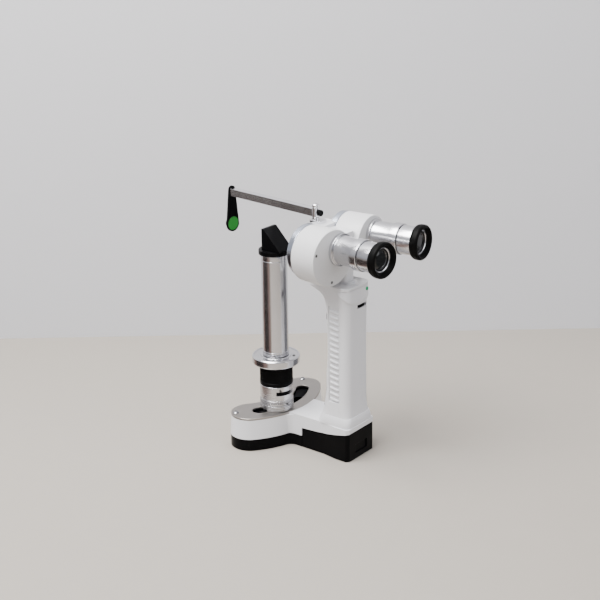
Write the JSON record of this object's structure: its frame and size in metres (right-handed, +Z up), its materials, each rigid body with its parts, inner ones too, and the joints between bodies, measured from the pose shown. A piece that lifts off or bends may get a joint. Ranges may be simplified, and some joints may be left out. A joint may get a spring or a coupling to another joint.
{
  "type": "handheld slit lamp",
  "caption": "Portable slit lamp: binocular head with turning eyepiece cans on a ribbed handle, lamp tower riding an arc slot, forehead arm and slide-out battery base.",
  "frame": {"origin": "on the standing plane under the handle's mid plane, below the point where the rest face mount is stated", "axes": "+X to the user's right, +Y from the user towards the patient, +Z up"},
  "size_m": [0.1204, 0.2123, 0.238],
  "materials": {
    "white_shell": "satin",
    "black_plastic": "matte",
    "brushed_plate": "brushed",
    "turned_aluminium": "turned",
    "chrome": "polished",
    "steel_screw": "satin",
    "black_anodised": "matte anodised",
    "rubber": "matte",
    "optical_glass": "coated",
    "green_disc": "matte",
    "indicator_green": "clear tinted",
    "board": "solder mask",
    "cell_wrap": "shrink wrap",
    "brass": "turned"
  },
  "bodies": {
    "base": {"base_housing": "white_shell", "top_plate": "brushed_plate", "slot_liner": "black_plastic", "plate_screws": "steel_screw", "bottom_cover": "black_plastic", "rubber_feet": "rubber", "handle_front": "white_shell", "handle_rear": "white_shell", "grip_inserts": "white_shell", "indicator_lens": "indicator_green", "circuit_board": "board", "trigger_switch": "black_plastic", "foot_screws": "black_anodised", "saddle": "white_shell", "front_rings": "turned_aluminium", "objective_lenses": "optical_glass", "centre_body": "white_shell", "post_bracket": "turned_aluminium", "post": "chrome"},
    "battery": {"battery_pack": "black_plastic", "battery_cells": "cell_wrap", "pack_feet": "rubber"},
    "trigger": {"power_trigger": "black_plastic"},
    "dimmer": {"brightness_wheel": "black_plastic"},
    "can_l": {"can_shell_left": "white_shell", "can_back_left": "white_shell", "can_screws_left": "steel_screw", "sleeve_left": "turned_aluminium", "prism_left": "optical_glass"},
    "can_r": {"can_shell_right": "white_shell", "can_back_right": "white_shell", "can_screws_right": "steel_screw", "sleeve_right": "turned_aluminium", "prism_right": "optical_glass"},
    "eye_l": {"eyepiece_tube_left": "turned_aluminium", "eyecup_left": "rubber", "eye_lens_left": "optical_glass"},
    "eye_r": {"eyepiece_tube_right": "turned_aluminium", "eyecup_right": "rubber", "eye_lens_right": "optical_glass"},
    "arm": {"arm_bar": "chrome", "arm_knob": "black_plastic"},
    "paddle": {"paddle": "black_plastic", "sight_disc": "green_disc", "brow_pad": "rubber"},
    "lamp": {"carriage_body": "turned_aluminium", "carriage_shoe": "steel_screw", "carriage_screws": "steel_screw", "lamp_tube": "turned_aluminium", "bulb_holder": "brass", "bulb": "optical_glass", "condenser_lens": "optical_glass", "projector_lens": "optical_glass"},
    "filter": {"filter_band": "black_anodised", "filter_disc": "steel_screw"},
    "slit": {"slit_ring": "turned_aluminium", "ring_screws": "steel_screw", "slit_disc": "steel_screw"},
    "lamp_head": {"prism_head": "black_anodised", "prism_glass": "optical_glass"}
  },
  "joints": [
    {"name": "lamp_swing", "type": "hinge", "parent": "base", "child": "lamp", "pos_m": [0, 0.126, 0.0332], "axis": [0, 0, 1], "range_deg": [-18, 47.8]},
    {"name": "filter_turn", "type": "hinge", "parent": "lamp", "child": "filter", "pos_m": [-0.01594, 0.06609, 0.069], "axis": [0, 0, 1], "range_deg": [-75, 75]},
    {"name": "slit_turn", "type": "hinge", "parent": "lamp", "child": "slit", "pos_m": [-0.01594, 0.06609, 0.084], "axis": [0, 0, 1], "range_deg": [-75, 75]},
    {"name": "head_turn", "type": "hinge", "parent": "lamp", "child": "lamp_head", "pos_m": [-0.01594, 0.06609, 0.19], "axis": [0, 0, 1], "range_deg": [-20, 20]},
    {"name": "can_turn_left", "type": "hinge", "parent": "base", "child": "can_l", "pos_m": [-0.0295, -0.0127, 0.201], "axis": [0.0941, 0.9956, 0], "range_deg": [-20, 20]},
    {"name": "can_turn_right", "type": "hinge", "parent": "base", "child": "can_r", "pos_m": [0.0295, -0.0127, 0.201], "axis": [-0.0941, 0.9956, 0], "range_deg": [-20, 20]},
    {"name": "dioptre_left", "type": "hinge", "parent": "can_l", "child": "eye_l", "pos_m": [-0.02363, -0.04841, 0.2074], "axis": [0.0941, 0.9956, 0], "range_deg": [-150, 150]},
    {"name": "dioptre_right", "type": "hinge", "parent": "can_r", "child": "eye_r", "pos_m": [0.03668, -0.04718, 0.208], "axis": [-0.0941, 0.9956, 0], "range_deg": [-150, 150]},
    {"name": "arm_swing", "type": "hinge", "parent": "base", "child": "arm", "pos_m": [0, 0.029, 0.2302], "axis": [0, 0, 1], "range_deg": [-40, 54]},
    {"name": "paddle_turn", "type": "hinge", "parent": "arm", "child": "paddle", "pos_m": [0.01176, 0.14088, 0.2302], "axis": [0.1045, 0.9945, 0], "range_deg": [-90, 90]},
    {"name": "trigger_press", "type": "slide", "parent": "base", "child": "trigger", "axis": [0, -1, 0], "range_m": [0, 0.0012], "stiffness_N_per_m": 300},
    {"name": "dimmer_turn", "type": "hinge", "parent": "base", "child": "dimmer", "pos_m": [0.006, -0.0112, 0.1486], "axis": [0, 0, 1], "range_deg": [-135, 135]},
    {"name": "battery_slide", "type": "slide", "parent": "base", "child": "battery", "axis": [0, -1, 0], "range_m": [0, 0.06]}
  ]
}
